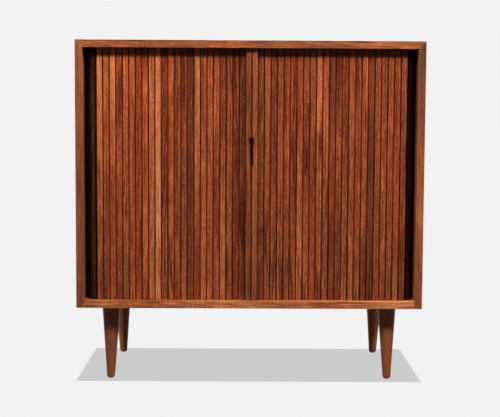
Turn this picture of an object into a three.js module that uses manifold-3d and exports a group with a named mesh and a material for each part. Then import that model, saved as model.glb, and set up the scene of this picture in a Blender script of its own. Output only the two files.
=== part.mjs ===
// Tambour door cabinet: a walnut case on tapered legs, closed by two slatted curtains
// that slide apart in tracks, round the front corners and into pockets at the sides.
// Millimetres, +Z up, front towards -Y, origin on the floor under the middle of the case.

import * as THREE from 'three';
import { mergeVertices } from 'three/addons/utils/BufferGeometryUtils.js';
import Module from 'manifold-3d';

const wasm = await Module();
wasm.setup();

// Case
const caseWidth = 915;
const caseDepth = 430;
const caseHeight = 704;
const panelThickness = 19.5;
const mitreGap = 0.2;
const backThickness = 8;
const backRebate = 8;
const backClearance = 0.3;

// Legs
const legHeight = 196;
const legTopDiameter = 49;
const legFootDiameter = 20.5;
const legFootRound = 1.5;
const legInset = 86;
const legSetBack = 65;
const legSplay = 20;
const glideDiameter = 14;
const glideThickness = 2.5;
const legPlateWidth = 62;
const legPlateThickness = 3;
const boltDiameter = 8;
const boltInLeg = 28;
const boltInCase = 10;
const boltClearance = 0.3;

// Curtain: slats on canvas, led by a stile
const curtainRecess = 20;
const slatPitch = 17.06;
const slatGap = 0.9;
const slatThickness = 6;
const slatBevel = 1;
const slatShoulderGap = 0.5;
const canvasThickness = 0.7;
const canvasMargin = 6;
const glueDepth = 0.2;
const tongueWidth = 11;
const tongueThickness = 4;
const tongueLength = 7;
const stileWidth = 14.8;
const stileProud = 10;
const meetingGap = 1;
const meetingOffset = 4;

// Track: a groove in the top and bottom panels
const curtainSideGap = 7.5;
const trackRadius = 22;
const trackDepth = 8;
const trackClearance = 0.5;
const stopDiameter = 4;
const stopDepth = 6;
const tailClearance = 4;

// Stretches of one door's curtain: the sections gather as it opens, some slats stay put
const sectionCount = 5;
const leastFrontSlatsKept = 2;
const cornerSlats = 2;
const foldedSectionWidth = 0.3;

// Finger pull shared by the two stiles
const pullHeight = 79;
const pullWidth = 13;
const pullDepth = 11;
const pullSlotWidth = 5.6;
const pullAboveCaseFloor = 393;

// Inside
const pocketWallThickness = 12;
const pocketClearance = 3;
const pocketWallSetback = 2;
const shelfThickness = 18;
const shelfSideGap = 1;
const shelfBackGap = 3;
const shelfHeightShares = [1 / 3, 2 / 3];
const pinDiameter = 5;
const pinCollarDiameter = 8;
const pinCollarThickness = 1.5;
const pinInWall = 9;
const pinUnderShelf = 9;
const pinClearance = 0.3;
const pinInset = 40;
const pinHolePitch = 32;
const pinHoleSteps = [-1, 0, 1];

// How far a cut runs past the face it starts from, and how finely round shapes are faceted
const overrun = 1;
const cornerSegments = 10;
const legSegments = 28;
const smallSegments = 12;

// Levels and faces worked out from the sizes above
const caseBottom = legHeight;
const caseTop = legHeight + caseHeight;
const floorTop = caseBottom + panelThickness;
const ceiling = caseTop - panelThickness;
const outerX = caseWidth / 2;
const innerX = outerX - panelThickness;
const frontY = -caseDepth / 2;
const rearY = caseDepth / 2;
const backFrontY = rearY - backThickness;
const slatWidth = slatPitch - slatGap;
const canvasY = frontY + curtainRecess + slatThickness + canvasThickness;
const trackCornerX = innerX - curtainSideGap - slatThickness - canvasThickness - trackRadius;
const trackCornerY = canvasY + trackRadius;
const arcLength = trackRadius * Math.PI / 2;
const pullCentreHeight = floorTop + pullAboveCaseFloor;
const pocketWallOuterX = trackCornerX + trackRadius - pocketClearance;
const pocketWallInnerX = pocketWallOuterX - pocketWallThickness;
const pocketWallFrontY = trackCornerY + pocketWallSetback;

// Slats on the front, how far back the later curtain's tail reaches when the doors are closed,
// and how many slats the pocket behind it can take in
const firstSlat = meetingGap / 2 + stileWidth + slatGap / 2;
const frontSlats = Math.round((trackCornerX - firstSlat) / slatPitch);
const tailAlongPath = firstSlat + (frontSlats + cornerSlats + 1) * slatPitch;
const tailRestEnd = trackCornerY + tailAlongPath - (trackCornerX - meetingOffset) - arcLength;
const pocketSlats = Math.floor((backFrontY - tailClearance - tailRestEnd) / slatPitch);
const gatheringSlats = Math.min(pocketSlats, frontSlats - leastFrontSlatsKept);
const slatsPerSection = Math.floor(gatheringSlats / sectionCount);
const frontSlatsKept = frontSlats - sectionCount * slatsPerSection;
const doorTravel = sectionCount * (slatsPerSection * slatPitch - foldedSectionWidth);

// Finishes
const finish = (colour, roughness, metalness = 0) =>
  new THREE.MeshStandardMaterial({ color: colour, roughness, metalness });
const caseWood = finish(0x9a5a34, 0.45);
const slatWood = finish(0xa0603a, 0.5);
const stileWood = finish(0xa3653f, 0.5);
const legWood = finish(0x8a4d2c, 0.45);
const insideWood = finish(0x9c6a45, 0.6);
const steel = finish(0x8a8c8e, 0.35, 1);
const nylon = finish(0x2a2a2a, 0.6);

const cabinet = new THREE.Group();

// A named piece in the cabinet, with flat faces shaded flat
function addPiece(name, geometry, material) {
  const faceted = geometry.index ? geometry.toNonIndexed() : geometry;
  faceted.computeVertexNormals();
  const mesh = new THREE.Mesh(faceted, material);
  mesh.name = name;
  cabinet.add(mesh);
}

// A closed geometry as a solid that can be joined and cut
function solidOf(geometry) {
  const bare = geometry.clone();
  bare.deleteAttribute('normal');
  bare.deleteAttribute('uv');
  const merged = mergeVertices(bare);
  return new wasm.Manifold(new wasm.Mesh({
    numProp: 3,
    vertProperties: new Float32Array(merged.attributes.position.array),
    triVerts: new Uint32Array(merged.index.array),
  }));
}

// The solid's triangles as a geometry again
function geometryOf(solid) {
  const mesh = solid.getMesh();
  const geometry = new THREE.BufferGeometry();
  geometry.setAttribute('position', new THREE.BufferAttribute(mesh.vertProperties, 3));
  geometry.setIndex(new THREE.BufferAttribute(mesh.triVerts, 1));
  return geometry;
}

// One geometry with others added to it
function joined(geometries) {
  const [first, ...rest] = geometries.map(solidOf);
  return geometryOf(rest.reduce((whole, solid) => whole.add(solid), first));
}

// One geometry with others cut from it
function cut(geometry, cutters) {
  const whole = cutters.reduce((left, cutter) => left.subtract(solidOf(cutter)), solidOf(geometry));
  return geometryOf(whole);
}

// A box between two corners
function block(x0, x1, y0, y1, z0, z1) {
  const box = new THREE.BoxGeometry(x1 - x0, y1 - y0, z1 - z0);
  return box.translate((x0 + x1) / 2, (y0 + y1) / 2, (z0 + z1) / 2);
}

// A plan outline of points or a Shape, raised from one level to another
function raised(outline, z0, z1) {
  const shape = outline instanceof THREE.Shape
    ? outline
    : new THREE.Shape(outline.map(([x, y]) => new THREE.Vector2(x, y)));
  const options = { depth: z1 - z0, bevelEnabled: false, curveSegments: cornerSegments };
  return new THREE.ExtrudeGeometry(shape, options).translate(0, 0, z0);
}

// A front-view outline of [x, z] points, carried from one depth to another
function carriedBack(outline, y0, y1) {
  const shape = new THREE.Shape(outline.map(([x, z]) => new THREE.Vector2(x, z)));
  const solid = new THREE.ExtrudeGeometry(shape, { depth: y1 - y0, bevelEnabled: false });
  return solid.rotateX(Math.PI / 2).translate(0, y1, 0);
}

// A round bar standing on z0
function bar(diameter, z0, z1, segments = smallSegments) {
  const cylinder = new THREE.CylinderGeometry(diameter / 2, diameter / 2, z1 - z0, segments);
  return cylinder.rotateX(Math.PI / 2).translate(0, 0, (z0 + z1) / 2);
}

// The panel's rear edge gives way to the back panel
function backRebateCut() {
  return block(
    -innerX - backRebate, innerX + backRebate,
    backFrontY, rearY + overrun,
    floorTop - backRebate, ceiling + backRebate,
  );
}

// The groove both curtains run in, as a plan outline: along the front, round both corners
// and back along the sides, wide enough for a flat tongue to turn the corner
function trackOutline() {
  const tongueInner = trackRadius + canvasThickness + (slatThickness - tongueThickness) / 2;
  const tongueOuter = Math.hypot(tongueInner + tongueThickness, tongueWidth / 2);
  const inner = tongueInner - trackClearance;
  const outer = tongueOuter + trackClearance;
  const sideEnd = tailRestEnd + doorTravel + tailClearance;
  const shape = new THREE.Shape();
  shape.moveTo(trackCornerX + outer, sideEnd);
  shape.lineTo(trackCornerX + inner, sideEnd);
  shape.lineTo(trackCornerX + inner, trackCornerY);
  shape.absarc(trackCornerX, trackCornerY, inner, 0, -Math.PI / 2, true);
  shape.lineTo(-trackCornerX, trackCornerY - inner);
  shape.absarc(-trackCornerX, trackCornerY, inner, -Math.PI / 2, -Math.PI, true);
  shape.lineTo(-trackCornerX - inner, sideEnd);
  shape.lineTo(-trackCornerX - outer, sideEnd);
  shape.lineTo(-trackCornerX - outer, trackCornerY);
  shape.absarc(-trackCornerX, trackCornerY, outer, -Math.PI, -Math.PI / 2, false);
  shape.lineTo(trackCornerX, trackCornerY - outer);
  shape.absarc(trackCornerX, trackCornerY, outer, -Math.PI / 2, 0, false);
  return shape;
}

// The dowel hole and the dowel in it that stop both stiles at the meeting line
function trackStop(z0, z1, diameter) {
  const tongueMiddle = canvasY - canvasThickness - slatThickness / 2;
  return bar(diameter, z0, z1).translate(meetingOffset, tongueMiddle, 0);
}

// Legs lean by the splay over their height; this turns an upright piece to lean that way
function leaned(geometry, frontOrBack) {
  return geometry.rotateX(frontOrBack * Math.atan(legSplay / legHeight));
}

// Where a leg's axis meets the case, for each corner: side is -1 or 1, end is -1 at the front
function legSeat(side, end) {
  return [side * (outerX - legInset), end * (rearY - legSetBack), caseBottom];
}

function addTopPanel() {
  const outline = [
    [-outerX, caseTop],
    [-innerX, ceiling],
    [innerX, ceiling],
    [outerX, caseTop],
  ];
  const track = raised(trackOutline(), ceiling - overrun, ceiling + trackDepth);
  const stopHole = trackStop(ceiling, ceiling + trackDepth + stopDepth, stopDiameter + 2 * pinClearance);
  const panel = cut(carriedBack(outline, frontY, rearY), [track, stopHole, backRebateCut()]);
  addPiece('top_panel', panel, caseWood);
}

function addSidePanel(name, side) {
  const drop = mitreGap * Math.SQRT2;
  const outline = [
    [side * innerX, caseBottom],
    [side * outerX, caseBottom],
    [side * outerX, caseTop - drop],
    [side * innerX, ceiling - drop],
  ];
  addPiece(name, cut(carriedBack(outline, frontY, rearY), [backRebateCut()]), caseWood);
}

function addBottomPanel() {
  const panel = block(-innerX, innerX, frontY, rearY, caseBottom, floorTop);
  const track = raised(trackOutline(), floorTop - trackDepth, floorTop + overrun);
  const stopHole = trackStop(floorTop - trackDepth - stopDepth, floorTop, stopDiameter + 2 * pinClearance);
  const boltHoles = [-1, 1].flatMap((side) => [-1, 1].map((end) => {
    const hole = bar(boltDiameter + 2 * boltClearance, -boltInCase, boltInCase + overrun);
    return leaned(hole, end).translate(...legSeat(side, end));
  }));
  addPiece('bottom_panel', cut(panel, [track, stopHole, backRebateCut(), ...boltHoles]), caseWood);
}

function addBackPanel() {
  const halfWidth = innerX + backRebate - backClearance;
  const low = floorTop - backRebate + backClearance;
  const high = ceiling + backRebate - backClearance;
  addPiece('back_panel', block(-halfWidth, halfWidth, backFrontY, rearY, low, high), insideWood);
}

function addTrackStops() {
  const top = trackStop(ceiling + pinClearance, ceiling + trackDepth + stopDepth, stopDiameter);
  const bottom = trackStop(floorTop - trackDepth - stopDepth, floorTop - pinClearance, stopDiameter);
  addPiece('track_stop_top', top, insideWood);
  addPiece('track_stop_bottom', bottom, insideWood);
}

// Shelf pins: heights of the undersides of the shelves, and the two depths they stand at
function shelfUndersides() {
  return shelfHeightShares.map((share) => floorTop + share * (ceiling - floorTop) - shelfThickness / 2);
}
const pinDepths = [pocketWallFrontY + pinInset, backFrontY - pinInset];

// A round bar lying along X through a pocket wall's inner face
function pinHole(side, y, z) {
  const hole = bar(pinDiameter + 2 * pinClearance, -pinInWall - pinClearance, overrun);
  return hole.rotateY(-side * Math.PI / 2).translate(side * pocketWallInnerX, y, z);
}

function pinCentreHeight(underside) {
  return underside - pinClearance - pinDiameter / 2;
}

function addPocketWall(name, side) {
  const near = side * pocketWallInnerX;
  const far = side * pocketWallOuterX;
  const wall = block(
    Math.min(near, far), Math.max(near, far),
    pocketWallFrontY, backFrontY,
    floorTop, ceiling,
  );
  const holes = shelfUndersides().flatMap((underside) => pinDepths.flatMap((y) =>
    pinHoleSteps.map((step) => pinHole(side, y, pinCentreHeight(underside) + step * pinHolePitch))));
  addPiece(name, cut(wall, holes), insideWood);
}

// A pin lying in the wall, its collar against the wall's face
function addShelfPin(name, side, y, underside) {
  const shank = bar(pinDiameter, -pinInWall, pinUnderShelf);
  const collar = bar(pinCollarDiameter, 0, pinCollarThickness);
  const pin = joined([shank, collar]).rotateY(-side * Math.PI / 2);
  pin.translate(side * pocketWallInnerX, y, pinCentreHeight(underside));
  addPiece(name, pin, steel);
}

function addShelves() {
  const halfWidth = pocketWallInnerX - pinCollarThickness - shelfSideGap;
  const names = ['lower', 'upper'];
  shelfUndersides().forEach((underside, index) => {
    const shelf = block(
      -halfWidth, halfWidth,
      pocketWallFrontY, backFrontY - shelfBackGap,
      underside, underside + shelfThickness,
    );
    addPiece(`${names[index]}_shelf`, shelf, insideWood);
    [['left', -1], ['right', 1]].forEach(([sideName, side]) => {
      [['front', pinDepths[0]], ['back', pinDepths[1]]].forEach(([endName, y]) => {
        addShelfPin(`${names[index]}_shelf_pin_${endName}_${sideName}`, side, y, underside);
      });
    });
  });
}

// A turned, straight-tapered leg with a rounded foot, leaning out, cut level at plate and floor
function legGeometry(end) {
  const lean = Math.atan(legSplay / legHeight);
  const length = legHeight / Math.cos(lean);
  const topRadius = legTopDiameter / 2;
  const footRadius = legFootDiameter / 2;
  const slope = (topRadius - footRadius) / length;
  const top = topRadius + slope * panelThickness;
  const footRise = glideThickness + legFootRound;
  const halfRound = legFootRound * (1 - Math.SQRT1_2);
  const profile = [
    [0, -length],
    [footRadius - legFootRound, -length],
    [footRadius - legFootRound, glideThickness - length],
    [footRadius - halfRound, glideThickness + halfRound - length],
    [footRadius + slope * footRise, footRise - length],
    [top, panelThickness],
    [0, panelThickness],
  ].map(([radius, height]) => new THREE.Vector2(radius, height));
  const turned = new THREE.LatheGeometry(profile, legSegments).rotateX(Math.PI / 2);
  const leaning = leaned(turned, end);
  const reach = legTopDiameter;
  const abovePlate = block(-reach, reach, -reach, reach, -legPlateThickness, reach);
  const footY = end * legSplay;
  const belowFoot = block(
    -reach, reach,
    footY - reach, footY + reach,
    -legHeight - reach, glideThickness - legHeight,
  );
  const hole = bar(boltDiameter + 2 * boltClearance, -boltInLeg - boltClearance, overrun);
  return cut(leaning, [abovePlate, belowFoot, leaned(hole, end)]);
}

function addLeg(name, side, end) {
  const seat = legSeat(side, end);
  addPiece(`${name}_leg`, legGeometry(end).translate(...seat), legWood);

  const half = legPlateWidth / 2;
  const plate = block(-half, half, -half, half, -legPlateThickness, 0);
  const hole = bar(boltDiameter + 2 * boltClearance, -boltInCase, boltInCase);
  addPiece(`${name}_leg_plate`, cut(plate, [leaned(hole, end)]).translate(...seat), steel);

  const bolt = leaned(bar(boltDiameter, -boltInLeg, boltInCase - boltClearance), end);
  addPiece(`${name}_hanger_bolt`, bolt.translate(...seat), steel);

  const glide = bar(glideDiameter, 0, glideThickness, legSegments);
  addPiece(`${name}_glide`, glide.translate(seat[0], seat[1] + end * legSplay, 0), nylon);
}

// The place of a slat on a door's path: distance along the canvas from the meeting line,
// round the corner, then back along the side. side is -1 for the left door, 1 for the right
function onPath(side, distance) {
  const straightRun = trackCornerX - side * meetingOffset;
  const pastCorner = distance - straightRun - arcLength;
  if (distance <= straightRun) {
    return { x: meetingOffset + side * distance, y: canvasY, turn: 0 };
  }
  if (pastCorner >= 0) {
    const x = side * (trackCornerX + trackRadius);
    return { x, y: trackCornerY + pastCorner, turn: side * Math.PI / 2 };
  }
  const angle = (distance - straightRun) / trackRadius;
  return {
    x: side * (trackCornerX + trackRadius * Math.sin(angle)),
    y: trackCornerY - trackRadius * Math.cos(angle),
    turn: side * angle,
  };
}

function placed(geometry, place) {
  return geometry.rotateZ(place.turn).translate(place.x, place.y, 0);
}

// The tongues at both ends of a slat or stile that run in the tracks
function tongues() {
  const back = -canvasThickness - (slatThickness - tongueThickness) / 2;
  return [
    [floorTop - tongueLength, floorTop + panelThickness],
    [ceiling - panelThickness, ceiling + tongueLength],
  ].map(([z0, z1]) => block(-tongueWidth / 2, tongueWidth / 2, back - tongueThickness, back, z0, z1));
}

// One slat at the origin of its place: flat back against the canvas, front edges bevelled
function slatParts() {
  const half = slatWidth / 2;
  const back = glueDepth - canvasThickness;
  const front = -canvasThickness - slatThickness;
  const outline = [
    [-half, back],
    [-half, front + slatBevel],
    [slatBevel - half, front],
    [half - slatBevel, front],
    [half, front + slatBevel],
    [half, back],
  ];
  const blade = raised(outline, floorTop + slatShoulderGap, ceiling - slatShoulderGap);
  return [blade, ...tongues()];
}

// The canvas behind one slat
function canvasBehind() {
  const half = slatWidth / 2;
  return block(-half, half, -canvasThickness, 0, floorTop + canvasMargin, ceiling - canvasMargin);
}

// The canvas that bridges the gap between two neighbouring slats
function canvasBridge(from, to, side) {
  const edge = side * slatWidth / 2;
  const middle = -canvasThickness / 2;
  const start = new THREE.Vector2(edge, middle).rotateAround(new THREE.Vector2(), from.turn);
  const stop = new THREE.Vector2(-edge, middle).rotateAround(new THREE.Vector2(), to.turn);
  start.add(new THREE.Vector2(from.x, from.y));
  stop.add(new THREE.Vector2(to.x, to.y));
  const half = start.distanceTo(stop) / 2 + canvasThickness;
  const strip = block(
    -half, half,
    -canvasThickness / 2, canvasThickness / 2,
    floorTop + canvasMargin + glueDepth, ceiling - canvasMargin - glueDepth,
  );
  const heading = Math.atan2(stop.y - start.y, stop.x - start.x);
  return strip.rotateZ(heading).translate((start.x + stop.x) / 2, (start.y + stop.y) / 2, 0);
}

// A stretch of curtain: neighbouring slats held together by their canvas
function curtainStretch(side, firstIndex, count) {
  const places = Array.from({ length: count }, (_, step) =>
    onPath(side, firstSlat + (firstIndex + step + 1 / 2) * slatPitch));
  const slats = places.flatMap((place) =>
    [...slatParts(), canvasBehind()].map((piece) => placed(piece, place)));
  const bridges = places.slice(1).map((place, step) => canvasBridge(places[step], place, side));
  return joined([...slats, ...bridges]);
}

// The cutters that carve half of the finger pull from a stile: a scoop with round ends and a
// slot through it
function pullCutters(meetingEdge) {
  const stileFront = -canvasThickness - slatThickness - stileProud;
  const radius = pullWidth / 2;
  const straight = pullHeight - pullWidth;
  const scoop = new THREE.CapsuleGeometry(radius, straight, smallSegments / 2, 2 * smallSegments);
  scoop.rotateX(Math.PI / 2).scale(1, pullDepth / radius, 1);
  scoop.translate(meetingEdge, stileFront, pullCentreHeight);
  const slotHalf = pullSlotWidth / 2;
  const slotReach = straight / 2 + slotHalf;
  const slot = block(
    meetingEdge - slotHalf, meetingEdge + slotHalf,
    stileFront - overrun, overrun,
    pullCentreHeight - slotReach, pullCentreHeight + slotReach,
  );
  return [scoop, slot];
}

// The stile that leads a curtain, standing proud of the slats, with its half of the pull
function addStile(name, side) {
  const half = stileWidth / 2;
  const middle = meetingGap / 2 + half;
  const blade = block(
    -half, half,
    -canvasThickness - slatThickness - stileProud, 0,
    floorTop + slatShoulderGap, ceiling - slatShoulderGap,
  );
  const stile = cut(joined([blade, ...tongues()]), pullCutters(-side * middle));
  addPiece(name, placed(stile, onPath(side, middle)), stileWood);
}

// One door: the stile, the sections that gather as it opens, the stretch that stays on the
// front, the one that stays round the corner, and the tail in the pocket
function addDoor(name, side) {
  addStile(`${name}_stile`, side);
  for (let section = 0; section < sectionCount; section += 1) {
    const stretch = curtainStretch(side, section * slatsPerSection, slatsPerSection);
    addPiece(`${name}_curtain_section_${section + 1}`, stretch, slatWood);
  }
  const moving = sectionCount * slatsPerSection;
  addPiece(`${name}_curtain_by_corner`, curtainStretch(side, moving, frontSlatsKept), slatWood);
  addPiece(`${name}_curtain_round_corner`, curtainStretch(side, frontSlats, cornerSlats), slatWood);
  addPiece(`${name}_curtain_tail`, curtainStretch(side, frontSlats + cornerSlats, 1), slatWood);
}

addTopPanel();
addSidePanel('left_side_panel', -1);
addSidePanel('right_side_panel', 1);
addBottomPanel();
addBackPanel();
addTrackStops();
addPocketWall('left_pocket_wall', -1);
addPocketWall('right_pocket_wall', 1);
addShelves();
addLeg('front_left', -1, -1);
addLeg('front_right', 1, -1);
addLeg('back_left', -1, 1);
addLeg('back_right', 1, 1);
addDoor('left', -1);
addDoor('right', 1);

export default cabinet;
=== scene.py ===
"""Tambour door cabinet: oiled walnut boards, slatted curtains on canvas, turned legs and fittings.

Metres, +Z up, front towards -Y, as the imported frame. Every surface is worked out from named sizes.
"""

import math

import bmesh
import bpy
import numpy as np
from mathutils import Matrix, Vector


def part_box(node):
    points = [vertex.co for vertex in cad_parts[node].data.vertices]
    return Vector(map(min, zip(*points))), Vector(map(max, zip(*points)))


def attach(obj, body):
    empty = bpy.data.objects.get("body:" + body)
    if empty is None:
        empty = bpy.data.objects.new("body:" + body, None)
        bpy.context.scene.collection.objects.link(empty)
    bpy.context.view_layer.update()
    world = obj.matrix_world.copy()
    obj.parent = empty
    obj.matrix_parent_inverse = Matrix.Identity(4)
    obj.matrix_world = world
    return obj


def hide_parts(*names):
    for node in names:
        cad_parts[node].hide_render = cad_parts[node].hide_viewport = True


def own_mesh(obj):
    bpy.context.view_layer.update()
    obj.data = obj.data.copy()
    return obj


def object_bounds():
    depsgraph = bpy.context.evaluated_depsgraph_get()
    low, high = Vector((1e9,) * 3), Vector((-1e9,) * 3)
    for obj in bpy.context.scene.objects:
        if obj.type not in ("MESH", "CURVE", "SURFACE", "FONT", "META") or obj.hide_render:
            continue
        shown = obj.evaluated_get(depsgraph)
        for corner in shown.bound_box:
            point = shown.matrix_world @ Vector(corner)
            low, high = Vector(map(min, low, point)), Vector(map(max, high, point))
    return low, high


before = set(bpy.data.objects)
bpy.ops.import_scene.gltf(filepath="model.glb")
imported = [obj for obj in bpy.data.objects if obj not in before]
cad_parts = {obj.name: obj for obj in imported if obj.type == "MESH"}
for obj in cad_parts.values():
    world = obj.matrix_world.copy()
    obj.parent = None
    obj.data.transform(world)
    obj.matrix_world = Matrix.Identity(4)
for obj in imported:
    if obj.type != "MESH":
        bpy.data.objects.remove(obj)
cad_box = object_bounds()

mm = 0.001

# Places that the frame gives
top_low, top_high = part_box("top_panel")
front_y = top_low.y
rear_y = top_high.y
case_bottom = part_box("bottom_panel")[0].z
floor_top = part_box("bottom_panel")[1].z
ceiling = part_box("left_pocket_wall")[1].z
inner_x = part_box("right_side_panel")[0].x
wall_face_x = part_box("right_pocket_wall")[0].x

# The curtain, as the cabinet is drawn
slat_pitch = 17.06 * mm
slat_gap = 0.9 * mm
slat_width = slat_pitch - slat_gap
slat_thickness = 6 * mm
slat_arris = 1.1 * mm
behind_arris = 0.5 * mm
shoulder_gap = 0.5 * mm
canvas_thickness = 0.7 * mm
canvas_margin = 6 * mm
canvas_sunk = 0.2 * mm
canvas_face = canvas_thickness - canvas_sunk / 4
tongue_width = 11 * mm
tongue_thickness = 4 * mm
tongue_length = 7 * mm
tongue_root = 4 * mm
stile_width = 14.8 * mm
stile_proud = 10 * mm
stile_arris = 1 * mm
meeting_arris = 1.5 * mm
meeting_gap = 1 * mm
meeting_x = 4 * mm
curtain_recess = 20 * mm
curtain_side_gap = 7.5 * mm
track_radius = 22 * mm
corner_x = inner_x - curtain_side_gap - slat_thickness - canvas_thickness - track_radius
canvas_y = front_y + curtain_recess + slat_thickness + canvas_thickness
first_slat = meeting_gap / 2 + stile_width + slat_gap / 2
section_count = 5
slats_per_section = 4
front_slats = 23
corner_slats = 2

# The finger pull that the stiles share
pull_centre_z = floor_top + 393 * mm
pull_height = 79 * mm
pull_width = 13 * mm
pull_depth = 11 * mm
pull_slot_width = 5.6 * mm
next_to_pull = 1 * mm

# Old oil and painted shade in the grooves and at the stiles, and painted highlights beside the
# grooves and on the boards' arrises: how far they reach, and how much they change the stain or the
# tone
groove_oil_and_shade_reach = 1.5 * mm
arris_oil_and_shade = 0.9
tongue_stain = 0.3
highlight_band = 1.8 * mm
slat_edge_highlight = 0.12
board_arris_highlight = 0.16
stile_oil_and_shade_darker = 0.3
scoop_shade_ease = 3 * mm
lip_shadow_start = 14 * mm
lip_shadow_full = 8 * mm
rim_ease = 0.3

# Easing of the boards' arrises
board_ease = 1.2 * mm
fitting_ease = 0.4 * mm
ease_segments = 3
fine_ease = 0.15
short_edge = 4 * mm
arris_from = math.radians(40)
flat_within = math.radians(1)
mitre_slant = 0.5
same_point = 0.02 * mm

# Legs and fittings
leg_top_diameter = 49 * mm
leg_foot_diameter = 20.5 * mm
leg_foot_round = 1.5 * mm
leg_splay = 20 * mm
plate_thickness = 3 * mm
glide_thickness = 2.5 * mm
plate_screw_inset = 8 * mm
plate_screw_diameter = 7 * mm
plate_screw_rise = 1.6 * mm
back_screw_inset = 4 * mm
back_screw_diameter = 6 * mm
back_screw_rise = 0.05 * mm
back_screw_columns = 6
back_screw_rows = 5
pin_diameter = 5 * mm
pin_collar_diameter = 8 * mm
pin_collar_thickness = 1.5 * mm
pin_arris = 0.5 * mm
pin_shoulder_share = 0.92
pin_tip_share = 0.6

# A screw head, in shares of its radius: its rings, the cross recess's arms, and the shape of both
screw_ring_shares = np.array([1, 1, 0.85, 0.62, 0.5, 0.36, 0.2, 0.05])
recess_arm_edge = (0.06, 0.14)
recess_arm_end = (0.5, 0.6)
recess_depth_share = 0.75
dome_roundness = 0.8

# How finely the surfaces are divided
sharp_from = math.radians(31)
arris_steps = 4
slat_levels = 9
canvas_steps = 8
scoop_steps = 14
scoop_points = 12
pull_middle_levels = 5
below_pull_levels = 7
above_pull_levels = 4
leg_around = 72
leg_levels = 30
foot_steps = 6
screw_around = 32
pin_around = 24


def smooth(low, high, value):
    """A smooth step: 0 below low, 1 above high, and a cubic ease between them."""
    share = np.clip((value - low) / (high - low), 0, 1)
    return share * share * (3 - 2 * share)


def in_scene(name, data):
    """A new object of the scene, at the origin."""
    item = bpy.data.objects.new(name, data)
    bpy.context.scene.collection.objects.link(item)
    return item


class Value:
    """A number that varies over a surface: a node's socket, on which sums add Math nodes."""

    def __init__(self, graph, socket):
        self.graph = graph
        self.socket = socket

    def __add__(self, other):
        return self.graph.maths("ADD", self, other)

    def __sub__(self, other):
        return self.graph.maths("SUBTRACT", self, other)

    def __rsub__(self, other):
        return self.graph.maths("SUBTRACT", other, self)

    def __mul__(self, other):
        return self.graph.maths("MULTIPLY", self, other)

    __radd__ = __add__
    __rmul__ = __mul__


class Graph:
    """The nodes of one material or of the world."""

    def __init__(self, tree):
        self.tree = tree
        tree.nodes.clear()

    def add(self, kind, settings=None, sockets=None):
        """A node with its settings made first, then its sockets given values or links."""
        node = self.tree.nodes.new(kind)
        for key, setting in (settings or {}).items():
            setattr(node, key, setting)
        for key, value in (sockets or {}).items():
            self.feed(node.inputs[key], value)
        return node

    def feed(self, socket, value):
        """A socket given a number, a colour or a link."""
        if isinstance(value, Value):
            value = value.socket
        if isinstance(value, bpy.types.NodeSocket):
            self.tree.links.new(value, socket)
        else:
            socket.default_value = value

    def maths(self, operation, *terms):
        node = self.add("ShaderNodeMath", {"operation": operation}, dict(enumerate(terms)))
        return Value(self, node.outputs[0])

    def vector(self, x, y, z):
        return self.add("ShaderNodeCombineXYZ", None, {0: x, 1: y, 2: z}).outputs[0]

    def parts(self, vector):
        node = self.add("ShaderNodeSeparateXYZ", None, {0: vector})
        return [Value(self, socket) for socket in node.outputs]

    def place(self):
        """x, y and z of the point that is shaded."""
        return self.parts(self.add("ShaderNodeTexCoord").outputs["Object"])

    def attribute(self, name):
        """A number that the mesh carries."""
        node = self.add("ShaderNodeAttribute", {"attribute_name": name})
        return Value(self, node.outputs["Fac"])

    def vector_attribute(self, name):
        """The three parts of a vector that the mesh carries."""
        node = self.add("ShaderNodeAttribute", {"attribute_name": name})
        return self.parts(node.outputs["Vector"])

    def noise(self, x, y, z, detail=2.0, roughness=0.5):
        node = self.add("ShaderNodeTexNoise", None, {
            "Vector": self.vector(x, y, z), "Scale": 1.0, "Detail": detail, "Roughness": roughness,
        })
        return Value(self, node.outputs["Fac"])

    def span(self, value, low, high):
        """The value's way from low to high as a share, eased at both ends."""
        node = self.add("ShaderNodeMapRange", {"interpolation_type": "SMOOTHSTEP"}, {
            "Value": value, "From Min": low, "From Max": high,
        })
        return Value(self, node.outputs["Result"])

    def ramp(self, value, stops):
        """A colour picked along a ramp of (place, colour) stops."""
        node = self.add("ShaderNodeValToRGB", None, {"Fac": value})
        elements = node.color_ramp.elements
        while len(elements) < len(stops):
            elements.new(1.0)
        for element, (position, colour) in zip(elements, stops):
            element.position = position
            element.color = (*colour, 1)
        return node.outputs["Color"]

    def mix(self, factor, first, second, blend="MIX"):
        """Colours mixed, or multiplied, by a factor that counts as 1 where it is more."""
        node = self.add("ShaderNodeMix", {"data_type": "RGBA", "blend_type": blend})
        self.feed(node.inputs["Factor"], factor)
        for socket, colour in ((node.inputs[6], first), (node.inputs[7], second)):
            self.feed(socket, (*colour, 1) if isinstance(colour, tuple) else colour)
        return node.outputs[2]

    def surface(self, sockets, height, relief):
        """The shader and the output, with a bump: the height's pattern raised by the relief."""
        bump = self.add("ShaderNodeBump", None,
                        {"Height": height, "Distance": relief, "Strength": 1.0})
        shader = self.add("ShaderNodeBsdfPrincipled", None,
                          {**sockets, "Normal": bump.outputs["Normal"]})
        self.add("ShaderNodeOutputMaterial", None, {"Surface": shader.outputs[0]})

    def lit_and_seen(self, lighting, shown):
        """One shader for the light it gives the object, and another for how it is seen, straight
        or through a mirror or glass."""
        path = self.add("ShaderNodeLightPath").outputs
        relayed = self.maths("MAXIMUM", path["Is Glossy Ray"], path["Is Transmission Ray"])
        seen = self.maths("MAXIMUM", path["Is Camera Ray"], relayed)
        chosen = self.add("ShaderNodeMixShader", None,
                          {0: seen, 1: lighting.outputs[0], 2: shown.outputs[0]})
        return chosen.outputs[0]


def new_material(name):
    material = bpy.data.materials.new(name)
    material.use_nodes = True
    return material, Graph(material.node_tree)


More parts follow.
